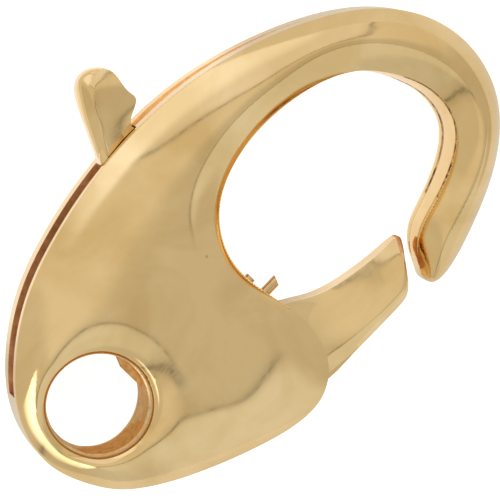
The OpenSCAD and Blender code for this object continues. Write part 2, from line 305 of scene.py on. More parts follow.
class Skin:
    """A domed casting over a table of sections.

    A point is edge(t) + (crown(row) - edge(t)) * e in plan, with t round the outline and e from
    0 at the edge to 1 on the crown. Its height is wall + (top - wall) * (1 - (1 - e) ** power).
    The outline has n points: one for each outer edge from row 0 to row m, then the inner edges
    back. Where the last section is shut, both its edges are one point.
    """

    def __init__(self, rows, section, half, outer=2):
        self.m = len(rows) - 1
        self.shut = rows[-1, 0] == rows[-1, 4]
        inner = rows[::-1][1:] if self.shut else rows[::-1]
        self.loop = np.vstack([rows[:, 0:2], inner[:, 4:6]]) * SHARES
        self.crown = rows[:, 2:4] * SHARES
        self.section = section
        self.outer = outer
        self.half = half
        self.n = len(self.loop)

    def row(self, t):
        """The row of the tables at t, the same on the way out and on the way back."""
        t = np.mod(t, self.n)
        back = 2 * self.m + (0 if self.shut else 1) - t
        return np.where(t <= self.m, t, np.clip(back, 0, self.m))

    def column(self, row, c):
        """A column of the section table, averaged over a row each way so that it has no kinks."""
        steps = np.linspace(-1, 1, 9)
        s = self.section
        return np.mean([np.interp(row + d, s[:, 0], s[:, c]) for d in steps], axis=0)

    def wall(self, t):
        """Height of the side wall's edge."""
        row = self.row(t)
        outer, inner = self.column(row, self.outer), self.column(row, 3)
        t = np.mod(t, self.n)
        return self.half * np.where(t <= self.m, outer, inner)

    def plan(self, t, e):
        """Places in plan."""
        edge = on_loop(self.loop, np.mod(t, self.n))
        return edge + (on_line(self.crown, self.row(t)) - edge) * e[:, None]

    def height(self, t, e):
        """Heights of the dome."""
        row = self.row(t)
        top, wall = self.half * self.column(row, 1), self.wall(t)
        power = np.where(np.mod(t, self.n) <= self.m, self.column(row, 4), self.column(row, 5))
        return wall + (top - wall) * (1 - (1 - e) ** power)

    def find(self, xy):
        """Parameters t and e of points in plan: nearest of a coarse grid, then Newton's steps."""
        gt, ge = np.meshgrid(np.arange(0, self.n, 0.25), np.linspace(0, 1, 14), indexing="ij")
        gt, ge = gt.ravel(), ge.ravel()
        grid = self.plan(gt, ge)
        near = ((xy[:, None, :] - grid[None]) ** 2).sum(-1).argmin(1)
        t, e = gt[near], ge[near]
        tiny = 1e-4
        for _ in range(12):
            p = self.plan(t, e)
            a = (self.plan(t + tiny, e) - p) / tiny
            b = (self.plan(t, e + tiny) - p) / tiny
            r = xy - p
            det = a[:, 0] * b[:, 1] - a[:, 1] * b[:, 0]
            det = np.where(np.abs(det) < 1e-6, 1e-6, det)
            dt = (r[:, 0] * b[:, 1] - r[:, 1] * b[:, 0]) / det
            de = (a[:, 0] * r[:, 1] - a[:, 1] * r[:, 0]) / det
            t = t + np.clip(dt, -0.4, 0.4)
            e = np.clip(e + np.clip(de, -0.2, 0.2), 0, 1)
        miss = np.linalg.norm(self.plan(t, e) - xy, axis=1)
        return t, e, miss


def within(points, ring):
    """Which points lie inside a closed outline: those with an odd count of edges to their right."""
    odd = np.zeros(len(points), int)
    for (x0, y0), (x1, y1) in zip(ring, np.roll(ring, -1, 0)):
        if y0 != y1:
            level = (points[:, 1] < max(y0, y1)) & (points[:, 1] >= min(y0, y1))
            odd += level & (points[:, 0] < x0 + (points[:, 1] - y0) * (x1 - x0) / (y1 - y0))
    return odd % 2 == 1


def make_mesh(name, points, faces, kinds=GOLD, finishes=()):
    """A mesh object in metres from points in millimetres, shaded smooth but for sharp edges.

    kinds says which of the finishes each face has.
    """
    mesh = bpy.data.meshes.new(name)
    mesh.from_pydata((np.asarray(points) * MM).tolist(), [], [list(map(int, f)) for f in faces])
    for finish in finishes:
        mesh.materials.append(finish)
    mesh.polygons.foreach_set("material_index", np.broadcast_to(kinds, len(faces)).astype(np.int32))
    mesh.validate()
    obj = bpy.data.objects.new(name, mesh)
    bpy.context.scene.collection.objects.link(obj)
    finish_shading(obj, SHARP)
    return obj


def finish_shading(obj, angle):
    """Smooth shading, but for edges that turn by more than an angle in degrees."""
    obj.data.shade_smooth()
    obj.data.set_sharp_from_angle(angle=np.radians(angle))


def combine(obj, others, operation):
    """Join others to an object, or cut them out of it. The others are used up."""
    for other in others:
        mod = obj.modifiers.new("combine", "BOOLEAN")
        mod.object, mod.operation, mod.solver = other, operation, "MANIFOLD"
    graph = bpy.context.evaluated_depsgraph_get()
    mesh = bpy.data.meshes.new_from_object(obj.evaluated_get(graph), depsgraph=graph)
    obj.modifiers.clear()
    old, obj.data = obj.data, mesh
    bpy.data.meshes.remove(old)
    mesh.name = obj.name
    for other in others:
        data = other.data
        bpy.data.objects.remove(other)
        bpy.data.meshes.remove(data)


def circle(turns):
    """Angles of points spaced evenly round a circle, and their places on one of radius 1."""
    angle = np.arange(turns) * 2 * np.pi / turns
    return angle, np.column_stack([np.cos(angle), np.sin(angle)])


def band(lower, upper):
    """Quads between two closed rings of point numbers, as two arrays of equal length."""
    return np.stack([lower, np.roll(lower, -1), np.roll(upper, -1), upper], 1)


def halves(quads):
    """The two triangles of each quad, as two arrays."""
    return [quads[:, [0, 1, 2]], quads[:, [0, 2, 3]]]


def stack(first, last, count, start):
    """Closed rings of point numbers: the first, then count new ones from start on, and the last."""
    n = len(first)
    return [first] + [start + i * n + np.arange(n) for i in range(count)] + [last]


def skin_surface(skin, patch):
    """Front, back and side wall of a skin that is the same on both faces.

    Returns points, triangles, and the finish of each triangle. All are gold but for a patch, given
    by its first and last t, how far in it reaches, as a share e, and its finish.
    """
    t = np.arange(skin.n * LEVER_ACROSS) / LEVER_ACROSS
    n, k = len(t), len(LEVER_LEVELS)
    rings = []
    for e in LEVER_LEVELS:
        share = np.full(n, e)
        rings.append(np.column_stack([skin.plan(t, share), skin.height(t, share)]))
    spine_t = np.arange(skin.m * LEVER_ACROSS + 1) / LEVER_ACROSS
    crown = np.ones(len(spine_t))
    spine = np.column_stack([skin.plan(spine_t, crown), skin.height(spine_t, crown)])
    front = np.vstack(rings + [spine])
    rear = front * [1, 1, -1]
    wall = rings[0][:, 2]
    side = [np.column_stack([rings[0][:, :2], wall * s]) for s in (0.9, 0.45, 0.0, -0.45, -0.9)]
    size = len(front)
    nearest = np.round(skin.row(t) * LEVER_ACROSS).astype(int)
    spine_no = k * n + np.clip(nearest, 0, len(spine) - 1)
    faces, kinds = [], []
    start, end, depth, finish = patch
    near = (t > start) & (t < end)
    for i in range(k):
        low = i * n + np.arange(n)
        high = (i + 1) * n + np.arange(n) if i + 1 < k else spine_no
        quads = band(low, high)
        faces += [quads, quads[:, ::-1] + size]
        kinds += [near & (LEVER_LEVELS[i] < depth)] * 2
    rows = stack(np.arange(n), size + np.arange(n), len(side), 2 * size)
    for high, low in zip(rows[:-1], rows[1:]):
        faces.append(band(low, high))
        kinds.append(near)
    tris = np.vstack(halves(np.vstack(faces)))
    a, b, c = tris.T
    good = (a != b) & (b != c) & (a != c)
    finishes = finish * np.tile(np.concatenate(kinds), 2)[good]
    return np.vstack([front, rear] + side), tris[good], finishes


def eye_lip(xy, height, sizes):
    """Height of the front with the ring eye's rolled lip.

    The dome sinks towards the eye by a cube of the distance left to its wall, more on the ring
    end's side, and its last edge is a quarter of an ellipse.
    """
    r = np.linalg.norm(xy, axis=1)
    far = np.clip(1 - (r - EYE_R) / sizes["lip_width"], 0, 1)
    near = np.clip(1 - (r - EYE_R) / sizes["lip_edge"], 0, 1)
    drop = sizes["lip_drop"] * (1 + 0.8 * np.clip(-xy[:, 0] / r, 0, 1))
    return height - drop * far ** 3 - sizes["lip_edge"] * 0.8 * (1 - np.sqrt(1 - near ** 2))


def body_grid(skin, t):
    """Points of the body's face: their t, their e, their places in plan, and the eye's rim.

    A grid over the skin, whose first points are the outline, stops short of the ring eye, and rings
    round the eye fill the rest.
    """
    def clear(rows):
        return rows[np.linalg.norm(skin.plan(*rows.T), axis=1) > EYE_R + RINGS_REACH]

    places = []
    for e in EDGE_LEVELS:
        rows = np.column_stack([t, np.full(len(t), e)])
        if e > EDGE_MARGIN:
            rows = clear(rows)
        # Near the crown, where the rows close up, every other point is enough.
        places.append(rows[::2] if e > 0.9 else rows)
    spine_t = np.arange(skin.m * ACROSS + 1) / ACROSS
    places.append(clear(np.column_stack([spine_t, np.ones(len(spine_t))])))
    grid = np.vstack(places)
    ring = circle(EYE_TURNS)[1]
    polar = (ring[None] * (EYE_R + EYE_STEPS)[:, None, None]).reshape(-1, 2)
    polar_t, polar_e, miss = skin.find(polar)
    keep = (polar_e > EDGE_MARGIN) & (miss < 0.01)
    keep[:EYE_TURNS] = True
    xy = np.vstack([skin.plan(*grid.T), polar[keep]])
    all_t = np.append(grid[:, 0], polar_t[keep])
    all_e = np.append(grid[:, 1], polar_e[keep])
    return all_t, all_e, xy, len(grid) + np.arange(EYE_TURNS)


def face_triangles(xy, n, rim):
    """Triangles of the body's face, between its outline of n points and the eye's rim."""
    edges = [(i, (i + 1) % n) for i in range(n)]
    edges += [(int(a), int(b)) for a, b in zip(rim, np.roll(rim, -1))]
    out = delaunay_2d_cdt([Vector(p) for p in xy.tolist()], edges, [], 0, 1e-7, True)
    if len(out[0]) != len(xy):
        raise RuntimeError("the body's front has points that coincide")
    tris = np.array(out[2])
    a, b, c = xy[tris[:, 0]], xy[tris[:, 1]], xy[tris[:, 2]]
    area = (b[:, 0] - a[:, 0]) * (c[:, 1] - a[:, 1]) - (b[:, 1] - a[:, 1]) * (c[:, 0] - a[:, 0])
    tris[area < 0] = tris[area < 0][:, ::-1]
    tris = tris[np.abs(area) > 1e-9]
    middle = xy[tris].mean(1)
    return tris[within(middle, xy[:n]) & ~within(middle, xy[rim])]


def side_walls(skin, t, front, rear, sizes):
    """Rings of points between the body's two outlines, and the finish of each band's quads.

    On the hook's inner side the wall leans out towards a round rim at the back, with a groove
    behind the front edge and another in front of that rim. Along the outside of the hook's root a
    thin lens at mid-thickness was never polished, and its darker orange there is also painted
    shade: the dark line along that seam.
    """
    chord = np.roll(front, -1, 0) - np.roll(front, 1, 0)
    normal = np.column_stack([chord[:, 1], -chord[:, 0]])
    normal = normal / np.hypot(chord[:, 0], chord[:, 1])[:, None]
    row, inner = skin.row(t), np.mod(t, skin.n) > skin.m
    hook = np.interp(row, [1, 3, 9, 12], [0, 1, 1, 0]) * inner
    raw_and_painted_shade = (row > 12) & (row < 18.7) & ~inner
    dull = inner & (row > 4) & (row < 9.5)
    lens = np.interp(row, [9, 12, 13.5, 15.5, 17.5, 18.7, 21], [1, 0.06, 0.7, 1.3, 1.0, 0.06, 1])
    lens = np.where(inner, 1, lens)
    rings, kinds = [], []
    for s in WALL_LEVELS[1:-1]:
        share = (s * np.where(abs(s) < 0.4, lens, 1))[:, None]
        wall = front * (1 + share) / 2 + rear * (1 - share) / 2
        groove = sum(np.exp(-((s - level) / width) ** 2) for level, width in GROOVES)
        lean = (1 - s) / 2 * np.sqrt(1 - max((-s - 0.6) / 0.4, 0) ** 2)
        swell = hook * (sizes["bulge"] * ((1 - s * s) / 2 + lean) - sizes["groove"] * groove)
        rings.append(wall + np.column_stack([normal * swell[:, None], np.zeros(len(t))]))
    for s in WALL_LEVELS[:-1]:
        # The lens is cast finish, its darker orange partly painted shade for the dark line along
        # the seam.
        finish = np.where(raw_and_painted_shade & (-0.27 < s < 0.5), CAST_AND_PAINTED_SHADE, GOLD)
        in_groove = 0.88 < s < 0.99 or -0.31 < s < -0.17
        kinds.append(np.where(dull & in_groove, DULLED, finish))
    return rings, kinds


def eye_wall(front, rear):
    """Rings of points down the eye's wall, and the finish of each band's quads.

    A groove runs inside either lip. Between them the wall swells slightly, and is satin where a
    brush reached it and as cast on the ring end's side, where the cast finish's dark orange is also
    painted shade for the deep part of the wall.
    """
    levels = np.append(EYE_LEVELS, -EYE_LEVELS[-2::-1])
    insets = np.append(EYE_INSET, EYE_INSET[-2::-1])
    angle = circle(EYE_TURNS)[0]
    rings, kinds = [], []
    for s, inset in zip(levels[1:-1], insets[1:-1]):
        wall = front * (1 + s) / 2 + rear * (1 - s) / 2
        rings.append(wall * [1 - inset / EYE_R, 1 - inset / EYE_R, 1])
    for s in levels[:-1]:
        # On the ring end's side the wall is cast finish, its dark orange partly painted shade.
        raw_and_painted_shade = (angle > 3.7 - 0.2 * s) & (angle < 4.9 + 0.3 * s)
        brushed = -0.8 < s < 0.81
        kinds.append(np.where(raw_and_painted_shade, CAST_AND_PAINTED_SHADE, SATIN) if brushed else np.full(EYE_TURNS, GOLD))
    return rings, kinds


def body_surface(skin, rear_skin, sizes):
    """Front, back and walls of the body, with the ring eye left open through it.

    Returns points, triangles, and the finish of each triangle.
    """
    t = np.arange(skin.n * ACROSS) / ACROSS
    all_t, all_e, xy, rim = body_grid(skin, t)
    n, size = len(t), len(xy)
    tris = face_triangles(xy, n, rim)
    front = np.column_stack([xy, eye_lip(xy, skin.height(all_t, all_e), sizes)])
    rear = np.column_stack([xy, -eye_lip(xy, rear_skin.height(all_t, all_e), sizes)])
    side_rings, side_kinds = side_walls(skin, t, front[:n], rear[:n], sizes)
    eye_rings, eye_kinds = eye_wall(front[rim], rear[rim])
    side = stack(np.arange(n), size + np.arange(n), len(side_rings), 2 * size)
    eye = stack(rim, size + rim, len(eye_rings), 2 * size + n * len(side_rings))
    faces = [tris, tris[:, ::-1] + size]
    kinds = [np.full(2 * len(tris), GOLD)]
    for high, low, finish in zip(side[:-1], side[1:], side_kinds):
        faces += halves(band(low, high))
        kinds += [finish] * 2
    for high, low, finish in zip(eye[:-1], eye[1:], eye_kinds):
        faces += halves(band(high, low))
        kinds += [finish] * 2
    points = np.vstack([front, rear] + side_rings + eye_rings)
    return points, np.vstack(faces), np.concatenate(kinds)


def prism(outline, low, high):
    """Points and faces of a plate with the given outline between two heights."""
    n = len(outline)
    points = np.vstack([np.column_stack([outline, np.full(n, z)]) for z in (low, high)])
    quads = band(np.arange(n), n + np.arange(n))
    return points, [list(range(n))[::-1], list(range(n, 2 * n))] + quads.tolist()


def slot_outline():
    """Outline of the slot: its corners joined by lines, kept a web away from the ring eye."""
    corners = SLOT * SHARES
    steps = np.linspace(0, 1, 60, endpoint=False)[:, None]
    points = np.vstack([a + (b - a) * steps for a, b in zip(corners, np.roll(corners, -1, 0))])
    r = np.linalg.norm(points, axis=1, keepdims=True)
    least = EYE_R + EYE_WEB
    points = np.where(r < least, points * least / r, points)
    keep = np.linalg.norm(points - np.roll(points, 1, 0), axis=1) > 0.002
    return points[keep]


def tube_round(centre, radius, low, high):
    """Points and faces of a round bar along Z."""
    return prism(centre + radius * circle(96)[1], low, high)


def wire_surface(path, radius, slants):
    """A round wire along a plane path: circles square to it, the first and last cut at a slant."""
    ahead = np.gradient(path, axis=0)
    ahead /= np.linalg.norm(ahead, axis=1)[:, None]
    side = np.column_stack([ahead[:, 1], -ahead[:, 0]])
    n, turns = len(path), 28
    ring = circle(turns)[1] * radius
    lean = np.zeros(n)
    lean[0], lean[-1] = slants
    offset = ring[None, :, 0]
    xy = path[:, None, :] + side[:, None, :] * offset[..., None]
    xy = xy + ahead[:, None, :] * (lean[:, None] * offset)[..., None]
    z = np.broadcast_to(ring[None, :, 1], (n, turns))
    points = np.concatenate([xy, z[..., None]], 2).reshape(-1, 3)
    faces = []
    for i in range(n - 1):
        faces += band((i + 1) * turns + np.arange(turns), i * turns + np.arange(turns)).tolist()
    caps = [list(range(turns)), list(range((n - 1) * turns, n * turns))[::-1]]
    return points, faces + caps


def group(name, inputs, outputs):
    """An empty node group with sockets for values or vectors, and its two ends."""
    tree = bpy.data.node_groups.new(name, "ShaderNodeTree")
    kinds = {"value": "NodeSocketFloat", "vector": "NodeSocketVector"}
    for label, kind, default in inputs:
        socket = tree.interface.new_socket(label, in_out="INPUT", socket_type=kinds[kind])
        if default is not None:
            socket.default_value = default
    for label, kind in outputs:
        tree.interface.new_socket(label, in_out="OUTPUT", socket_type=kinds[kind])
    return tree, tree.nodes.new("NodeGroupInput"), tree.nodes.new("NodeGroupOutput")


def node(tree, kind, inputs=None, **values):
    """A node with some values set, and some inputs set, or linked where they are sockets."""
    made = tree.nodes.new(kind)
    for key, value in values.items():
        setattr(made, key, value)
    for key, value in (inputs or {}).items():
        if isinstance(value, bpy.types.NodeSocket):
            tree.links.new(value, made.inputs[key])
        else:
            made.inputs[key].default_value = value
    return made


def ramp(tree, source, stops):
    """The colour of a ramp whose stops are places with a grey or a colour."""
    made = node(tree, "ShaderNodeValToRGB", {0: source})
    elements = made.color_ramp.elements
    while len(elements) < len(stops):
        elements.new(0.5)
    for element, (place, value) in zip(elements, stops):
        element.position = place
        element.color = (value, value, value, 1) if np.isscalar(value) else (*value, 1)
    return made.outputs[0]


def calc(tree, operation, a, b, kind="Math"):
    """The result of a math node, or of one of kind VectorMath, on two inputs."""
    return node(tree, "ShaderNode" + kind, {0: a, 1: b}, operation=operation).outputs[0]


def mix(tree, share, a, b):
    """The blend of two colours."""
    made = node(tree, "ShaderNodeMix", {"Factor": share, "A": a, "B": b}, data_type="RGBA")
    return made.outputs["Result"]


def noise(tree, place, scale, detail, **more):
    """A noise texture. More of its inputs go by their names."""
    return node(tree, "ShaderNodeTexNoise",
                {"Vector": place, "Scale": scale, "Detail": detail, **more})


def clouding_group():
    """Soft clouds of film and polish over cast metal: a mask from 0 to 1, and a finer noise."""
    tree, start, end = group(
        "polish_clouds",
        [("Place", "vector", None), ("Size", "value", 400.0)],
        [("Clouds", "value"), ("Fine", "value")])
    place, size = start.outputs["Place"], start.outputs["Size"]
    wide = noise(tree, place, size, 4.0, Roughness=0.55, Distortion=0.6)
    soft = ramp(tree, wide.outputs["Fac"], [(0.35, 0.0), (0.65, 1.0)])
    fine = noise(tree, place, calc(tree, "MULTIPLY", size, 9.0), 3.0, Roughness=0.6)
    tree.links.new(soft, end.inputs["Clouds"])
    tree.links.new(fine.outputs["Fac"], end.inputs["Fine"])
    return tree


def marks_group():
    """Height of hairline scratches, casting pits and the slow waves that hand polishing leaves."""
    tree, start, end = group(
        "polish_marks",
        [("Place", "vector", None), ("Scratches", "value", 0.2), ("Pits", "value", 0.5),
         ("Waves", "value", 0.4)],
        [("Height", "value"), ("Pit mask", "value")])
    place = start.outputs["Place"]
    turned = node(tree, "ShaderNodeMapping",
                  {"Vector": place, "Rotation": (0, 0, 0.7), "Scale": (1, 14, 1)})
    hair = noise(tree, turned.outputs[0], 900.0, 2.0)
    lines = ramp(tree, hair.outputs["Fac"], [(0.46, 0.0), (0.5, 1.0), (0.54, 0.0)])
    scratched = calc(tree, "MULTIPLY", lines, start.outputs["Scratches"])
    cells = node(tree, "ShaderNodeTexVoronoi",
                 {"Vector": place, "Scale": 520.0, "Randomness": 1.0})
    dots = ramp(tree, cells.outputs["Distance"], [(0.0, 1.0), (0.055, 0.0)])
    rare = noise(tree, place, 330.0, 1.0)
    some = ramp(tree, rare.outputs["Fac"], [(0.44, 0.0), (0.54, 1.0)])
    pitted = calc(tree, "MULTIPLY", calc(tree, "MULTIPLY", dots, some), start.outputs["Pits"])
    slow = noise(tree, place, 260.0, 2.0)
    waved = calc(tree, "MULTIPLY", slow.outputs["Fac"], start.outputs["Waves"])
    cut = calc(tree, "SUBTRACT", waved, scratched)
    tree.links.new(calc(tree, "SUBTRACT", cut, pitted), end.inputs["Height"])
    tree.links.new(pitted, end.inputs["Pit mask"])
    return tree


def metal(name, bright, deep, rough, groups, scratches, pits, waves, depth, cloud_size,
          edge=(1.0, 1.0, 1.0)):
    """Polished metal whose colour, gloss and height vary with its clouds and marks."""
    material = bpy.data.materials.new(name)
    material.use_nodes = True
    tree = material.node_tree
    shader = tree.nodes["Principled BSDF"]
    shader.inputs["Metallic"].default_value = 1.0
    shader.inputs["Specular Tint"].default_value = (*edge, 1)
    place = node(tree, "ShaderNodeTexCoord").outputs["Object"]
    clouds = node(tree, "ShaderNodeGroup", node_tree=groups["clouds"])
    tree.links.new(place, clouds.inputs["Place"])
    clouds.inputs["Size"].default_value = cloud_size
    marks = node(tree, "ShaderNodeGroup", node_tree=groups["marks"])
    tree.links.new(place, marks.inputs["Place"])
    for key, value in (("Scratches", scratches), ("Pits", pits), ("Waves", waves)):
        marks.inputs[key].default_value = value
    plated = mix(tree, clouds.outputs["Clouds"], (*deep, 1), (*bright, 1))
    colour = mix(tree, marks.outputs["Pit mask"], plated, (0.16, 0.08, 0.03, 1))
    tree.links.new(colour, shader.inputs["Base Color"])
    gloss = node(tree, "ShaderNodeMapRange",
                 {"Value": clouds.outputs["Fine"], "From Min": 0.3, "From Max": 0.7,
                  "To Min": rough[0], "To Max": rough[1]})
    tree.links.new(gloss.outputs["Result"], shader.inputs["Roughness"])
    bump = node(tree, "ShaderNodeBump",
                {"Height": marks.outputs["Height"], "Distance": depth, "Strength": 1.0})
    tree.links.new(bump.outputs["Normal"], shader.inputs["Normal"])
    return material


def metals(settings):
    """The finishes of the clasp, made once."""
    if "clasp_gold" not in bpy.data.materials:
        groups = {"clouds": clouding_group(), "marks": marks_group()}
        gold, cast = tuple(settings.gold), tuple(settings.cast)
        metal("clasp_gold", gold, tuple(settings.gold_deep), (0.05, 0.12), groups,
              scratches=0.008, pits=0.5, waves=1.6, depth=2e-5, cloud_size=260.0)
        # The cast finish is partly painted shade: deep in the ring eye and along the hook's root
        # its orange stands for shade.
        metal("clasp_cast", cast, tuple(settings.cast_and_painted_shade_deep), (0.35, 0.55), groups,
              scratches=0.0, pits=0.6, waves=0.6, depth=3e-5, cloud_size=3200.0,
              edge=(0.95, 0.68, 0.4))
        metal("clasp_dulled", cast, (0.09, 0.05, 0.02), (0.3, 0.6), groups,
              scratches=0.0, pits=1.0, waves=1.0, depth=3e-5, cloud_size=2600.0)
        metal("clasp_satin", gold, (0.66, 0.43, 0.20), (0.16, 0.36), groups,
              scratches=0.02, pits=1.0, waves=1.0, depth=3e-5, cloud_size=1400.0,
              edge=(1.0, 0.8, 0.55))
        # Painted shade: dark orange-brown for the inside of the slot and the end of the gate's
        # nose.
        metal("clasp_painted_shade", (0.84, 0.48, 0.23), (0.58, 0.29, 0.12), (0.4, 0.6), groups,
              scratches=0.0, pits=1.0, waves=1.0, depth=3e-5, cloud_size=1800.0,
              edge=(0.8, 0.55, 0.35))
        metal("clasp_wire", (0.86, 0.66, 0.40), (0.7, 0.48, 0.24), (0.15, 0.3), groups,
              scratches=0.05, pits=0.1, waves=0.1, depth=1e-5, cloud_size=1500.0)
    return [bpy.data.materials["clasp_" + name] for name in FINISHES]


class ClaspSettings(bpy.types.PropertyGroup):
    """What the panel can change"""
    lip_width: bpy.props.FloatProperty(
        name="Lip width", description="How far the ring eye's lip rolls out over the face",
        default=2.4 * MM, min=0, unit="LENGTH")
    lip_drop: bpy.props.FloatProperty(
        name="Lip drop", description="How far the face sinks towards the ring eye",
        default=0.3 * MM, min=0, unit="LENGTH")
    lip_edge: bpy.props.FloatProperty(
        name="Lip edge", description="Radius of the ring eye's rounded edge",
        default=0.42 * MM, min=0.01 * MM, unit="LENGTH")
    bulge: bpy.props.FloatProperty(
        name="Hook bulge", description="How far the hook's inner wall leans out at the back",
        default=0.2 * MM, min=0, unit="LENGTH")
    groove: bpy.props.FloatProperty(
        name="Hook groove", description="Depth of the grooves along the hook's inner wall",
        default=0.09 * MM, min=0, unit="LENGTH")
    gold: bpy.props.FloatVectorProperty(
        name="Gold", description="Colour of the polished plating",
        default=(0.95, 0.71, 0.39), size=3, subtype="COLOR", min=0, max=1)
    gold_deep: bpy.props.FloatVectorProperty(
        name="Deep gold", description="Colour of the plating where a film lies on it",
        default=(0.81, 0.57, 0.27), size=3, subtype="COLOR", min=0, max=1)
    # Where the cast colours lie deep in the ring eye and along the hook's root they are partly
    # painted shade.
    cast: bpy.props.FloatVectorProperty(
        name="Cast", description="Colour of the plating where the metal is left as cast",
        default=(0.97, 0.62, 0.28), size=3, subtype="COLOR", min=0, max=1)
    cast_and_painted_shade_deep: bpy.props.FloatVectorProperty(
        name="Deep cast", description="Colour of the hollows where the metal is left as cast",
        default=(0.78, 0.42, 0.15), size=3, subtype="COLOR", min=0, max=1)
    floor: bpy.props.FloatVectorProperty(
        name="Table", description="Colour of the table top",
        default=(0.74, 0.74, 0.74), size=3, subtype="COLOR", min=0, max=1)
    light: bpy.props.FloatProperty(
        name="Light", description="Strength of the studio light", default=1.0, min=0)


def sizes_of(settings):
    """The settings' lengths in millimetres."""
    keys = ("lip_width", "lip_drop", "lip_edge", "bulge", "groove")
    return {key: getattr(settings, key) / MM for key in keys}


class CLASP_OT_body(bpy.types.Operator):
    """Cast body with its hook, ring eye and slot"""
    bl_idname = "clasp.body"
    bl_label = "Body"

    def execute(self, context):
        settings = context.scene.clasp
        finishes = metals(settings)[:WIRE]
        skin = Skin(BODY, BODY_SECTION, HALF)
        rear_skin = Skin(BODY, BODY_SECTION, HALF, outer=6)
        surface = body_surface(skin, rear_skin, sizes_of(settings))
        body = make_mesh("clasp_body", *surface, finishes)
        ledge = make_mesh("ledge_part", *prism(LEDGE, -LEDGE_HALF, LEDGE_HALF), CAST_AND_PAINTED_SHADE, finishes)
        combine(body, [ledge], "UNION")
        opening = prism(slot_outline(), -SLOT_W / 2, SLOT_W / 2)
        # The slot's walls keep the cutter's finish: painted shade inside the slot.
        slot = make_mesh("slot_cutter", *opening, PAINTED_SHADE, finishes)
        drilled = tube_round(PIVOT, PIN_R, -2 * HALF, PIN_TOP)
        bore = make_mesh("bore_cutter", *drilled, CAST_AND_PAINTED_SHADE, finishes)
        combine(body, [slot, bore], "DIFFERENCE")
        finish_shading(body, CUT_SHARP)
        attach(body, "clasp")
        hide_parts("body")
        return {"FINISHED"}


class CLASP_OT_lever(bpy.types.Operator):
    """Lever with its gate, plate and thumb tab"""
    bl_idname = "clasp.lever"
    bl_label = "Lever"

    def execute(self, context):
        finishes = metals(context.scene.clasp)[:WIRE]
        gate = Skin(GATE, GATE_SECTION, GATE_THICK / 2)
        tab = Skin(TAB, TAB_SECTION, TAB_THICK / 2)
        lever = make_mesh("clasp_lever", *skin_surface(gate, NOSE_PATCH), finishes)
        thumb = make_mesh("tab_part", *skin_surface(tab, FOOT_PATCH), finishes)
        ring = on_loop(PLATE * SHARES, np.arange(len(PLATE) * 8) / 8)
        slab = prism(ring, -LEVER_THICK / 2, LEVER_THICK / 2)
        plate = make_mesh("plate_part", *slab, GOLD, finishes)
        combine(lever, [plate, thumb], "UNION")
        drilled = tube_round(PIVOT, PIN_R + PIN_PLAY, -2 * HALF, 2 * HALF)
        hole = make_mesh("hole_cutter", *drilled, CAST_AND_PAINTED_SHADE, finishes)
        combine(lever, [hole], "DIFFERENCE")
        finish_shading(lever, CUT_SHARP)
        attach(lever, "lever")
        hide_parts("lever")
        return {"FINISHED"}


class CLASP_OT_pin(bpy.types.Operator):
    """Pin that the lever turns on, flush with the back"""
    bl_idname = "clasp.pin"
    bl_label = "Pin"

    def execute(self, context):
        skin = Skin(BODY, BODY_SECTION, HALF, outer=6)
        turns = 72
        ring = circle(turns)[1]
        # The pin's face is flush with the back and falls away a little at its rim.
        radii = np.array([0.15, 0.35, 0.5, 0.56, 0.582, 0.59])
        sink = np.array([0.0, 0.0, 0.002, 0.008, 0.016, 0.03])
        xy = np.vstack([PIVOT[None] + ring * r for r in radii] + [PIVOT[None]])
        t, e, _ = skin.find(xy)
        z = -skin.height(t, e)
        z[:-1] += np.repeat(sink, turns)
        n = len(radii)
        middle = n * turns
        last, lid = middle - turns, middle + 1
        top = np.column_stack([xy[last:middle], np.full(turns, PIN_TOP - PIN_SHORT)])
        points = np.vstack([np.column_stack([xy, z]), top])
        faces = []
        for i in range(n - 1):
            faces += band(i * turns + np.arange(turns), (i + 1) * turns + np.arange(turns)).tolist()
        faces += [[middle, (j + 1) % turns, j] for j in range(turns)]
        faces += band(last + np.arange(turns), lid + np.arange(turns)).tolist()
        faces.append(list(range(lid, lid + turns)))
        pin = make_mesh("clasp_pin", points, faces, 0, [metals(context.scene.clasp)[GOLD]])
        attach(pin, "clasp")
        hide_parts("pivot_pin")
        return {"FINISHED"}


class CLASP_OT_spring(bpy.types.Operator):
    """Hairpin spring of round wire, its lower leg the longer"""
    bl_idname = "clasp.spring"
    bl_label = "Spring"

    def execute(self, context):
        still = np.column_stack([np.linspace(STILL_LEG, 0, 10), np.full(10, SPRING_R)])
        turn = np.linspace(np.pi / 2, 3 * np.pi / 2, 40)[1:-1]
        bend = SPRING_R * np.column_stack([np.cos(turn), np.sin(turn)])
        pushed = np.column_stack([np.linspace(0, PUSHED_LEG, 24), np.full(24, -SPRING_R)])
        path = np.vstack([still, bend, pushed]) + SPRING_AT
        wire = wire_surface(path, WIRE_D / 2, (0.0, -0.45))
        spring = make_mesh("clasp_spring", *wire, 0, [metals(context.scene.clasp)[WIRE]])
        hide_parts("spring")
        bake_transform(spring)
        return {"FINISHED"}


